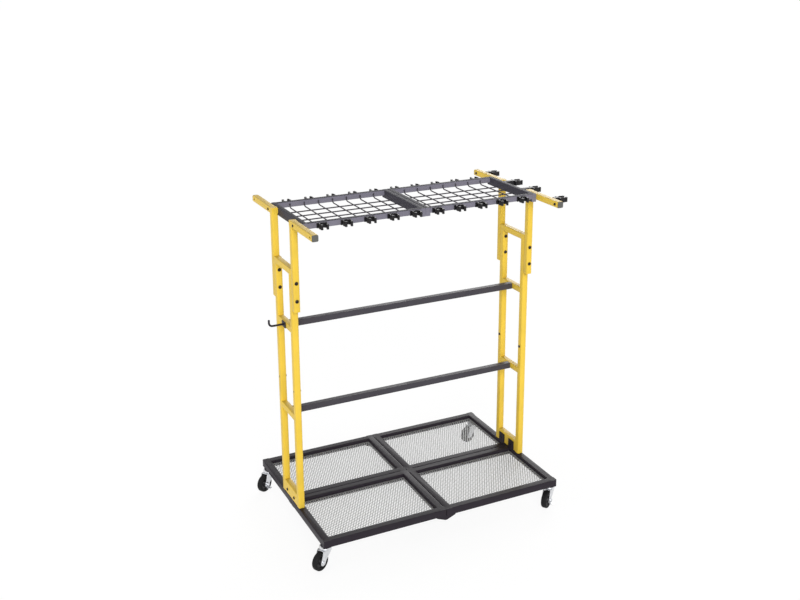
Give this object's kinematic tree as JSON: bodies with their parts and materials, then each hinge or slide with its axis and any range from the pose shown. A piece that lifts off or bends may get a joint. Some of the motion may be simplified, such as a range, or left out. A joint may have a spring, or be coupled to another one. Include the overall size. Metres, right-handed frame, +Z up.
{
  "type": "garden tool rack",
  "caption": "Freestanding garden tool rack on swivel casters: mesh trays, two ladder end frames, crossbars and a wire top grid with handle clips.",
  "frame": {"origin": "middle of the whole rack's footprint, on the floor under the wheels", "axes": "+X along the rack towards the end with the side clips, +Y from the front to the back, +Z up"},
  "size_m": [1.1742, 0.7392, 1.323],
  "materials": {
    "yellow_powder_coat": "satin",
    "black_powder_coat": "satin",
    "galvanised_mesh": "satin",
    "zinc_plate": "bright",
    "tyre_rubber": "matte",
    "black_plastic": "matte",
    "dark_bolt": "satin"
  },
  "bodies": {
    "rack": {"tray_frame_front_left": "black_powder_coat", "tray_deck_front_left": "galvanised_mesh", "tray_frame_front_right": "black_powder_coat", "tray_deck_front_right": "galvanised_mesh", "tray_frame_back_left": "black_powder_coat", "tray_deck_back_left": "galvanised_mesh", "tray_frame_back_right": "black_powder_coat", "tray_deck_back_right": "galvanised_mesh", "joint_plate_front": "black_powder_coat", "joint_plate_back": "black_powder_coat", "caster_stem_front_left": "zinc_plate", "caster_stem_front_right": "zinc_plate", "caster_stem_back_left": "zinc_plate", "caster_stem_back_right": "zinc_plate", "end_frame_left": "yellow_powder_coat", "post_arm_front_left": "yellow_powder_coat", "arm_plug_front_left": "black_plastic", "lap_bolt_upper_front_left": "dark_bolt", "lap_bolt_lower_front_left": "dark_bolt", "post_arm_back_left": "yellow_powder_coat", "arm_plug_back_left": "black_plastic", "lap_bolt_upper_back_left": "dark_bolt", "lap_bolt_lower_back_left": "dark_bolt", "end_frame_right": "yellow_powder_coat", "post_arm_front_right": "yellow_powder_coat", "arm_plug_front_right": "black_plastic", "lap_bolt_upper_front_right": "dark_bolt", "lap_bolt_lower_front_right": "dark_bolt", "post_arm_back_right": "yellow_powder_coat", "arm_plug_back_right": "black_plastic", "lap_bolt_upper_back_right": "dark_bolt", "lap_bolt_lower_back_right": "dark_bolt", "crossbar_upper_left": "black_powder_coat", "crossbar_upper_right": "black_powder_coat", "crossbar_lower_left": "black_powder_coat", "crossbar_lower_right": "black_powder_coat", "grid_frame_left": "black_powder_coat", "wire_grid_left": "black_powder_coat", "grid_frame_right": "black_powder_coat", "wire_grid_right": "black_powder_coat", "side_clip_inner_front": "black_plastic", "side_clip_outer_front": "black_plastic", "side_clip_inner_back": "black_plastic", "side_clip_outer_back": "black_plastic", "hose_hook": "black_powder_coat"},
    "swivel_front_left": {"caster_fork_front_left": "zinc_plate", "caster_axle_front_left": "zinc_plate"},
    "wheel_front_left": {"caster_wheel_front_left": "tyre_rubber"},
    "swivel_front_right": {"caster_fork_front_right": "zinc_plate", "caster_axle_front_right": "zinc_plate"},
    "wheel_front_right": {"caster_wheel_front_right": "tyre_rubber"},
    "brake_front_right": {"brake_lever_front_right": "zinc_plate"},
    "swivel_back_left": {"caster_fork_back_left": "zinc_plate", "caster_axle_back_left": "zinc_plate"},
    "wheel_back_left": {"caster_wheel_back_left": "tyre_rubber"},
    "brake_back_left": {"brake_lever_back_left": "zinc_plate"},
    "swivel_back_right": {"caster_fork_back_right": "zinc_plate", "caster_axle_back_right": "zinc_plate"},
    "wheel_back_right": {"caster_wheel_back_right": "tyre_rubber"}
  },
  "joints": [
    {"name": "swivel_turn_front_left", "type": "hinge", "parent": "rack", "child": "swivel_front_left", "pos_m": [-0.50633, -0.31839, 0.085], "axis": [0, 0, 1], "continuous": true},
    {"name": "wheel_roll_front_left", "type": "hinge", "parent": "swivel_front_left", "child": "wheel_front_left", "pos_m": [-0.53282, -0.33248, 0.03704], "axis": [0.4695, -0.8829, 0], "continuous": true},
    {"name": "swivel_turn_front_right", "type": "hinge", "parent": "rack", "child": "swivel_front_right", "pos_m": [0.51367, -0.31839, 0.085], "axis": [0, 0, 1], "continuous": true},
    {"name": "wheel_roll_front_right", "type": "hinge", "parent": "swivel_front_right", "child": "wheel_front_right", "pos_m": [0.4894, -0.33603, 0.03704], "axis": [0.5878, -0.809, 0], "continuous": true},
    {"name": "brake_press_front_right", "type": "hinge", "parent": "swivel_front_right", "child": "brake_front_right", "pos_m": [0.50069, -0.35156, 0.03704], "axis": [0.5878, -0.809, 0], "range_deg": [0, 30]},
    {"name": "swivel_turn_back_left", "type": "hinge", "parent": "rack", "child": "swivel_back_left", "pos_m": [-0.50633, 0.33761, 0.085], "axis": [0, 0, 1], "continuous": true},
    {"name": "wheel_roll_back_left", "type": "hinge", "parent": "swivel_back_left", "child": "wheel_back_left", "pos_m": [-0.53204, 0.32216, 0.03704], "axis": [0.515, -0.8572, 0], "continuous": true},
    {"name": "brake_press_back_left", "type": "hinge", "parent": "swivel_back_left", "child": "brake_back_left", "pos_m": [-0.52215, 0.3057, 0.03704], "axis": [0.515, -0.8572, 0], "range_deg": [0, 30]},
    {"name": "swivel_turn_back_right", "type": "hinge", "parent": "rack", "child": "swivel_back_right", "pos_m": [0.51367, 0.33761, 0.085], "axis": [0, 0, 1], "continuous": true},
    {"name": "wheel_roll_back_right", "type": "hinge", "parent": "swivel_back_right", "child": "wheel_back_right", "pos_m": [0.48484, 0.32934, 0.03704], "axis": [0.2756, -0.9613, 0], "continuous": true}
  ]
}
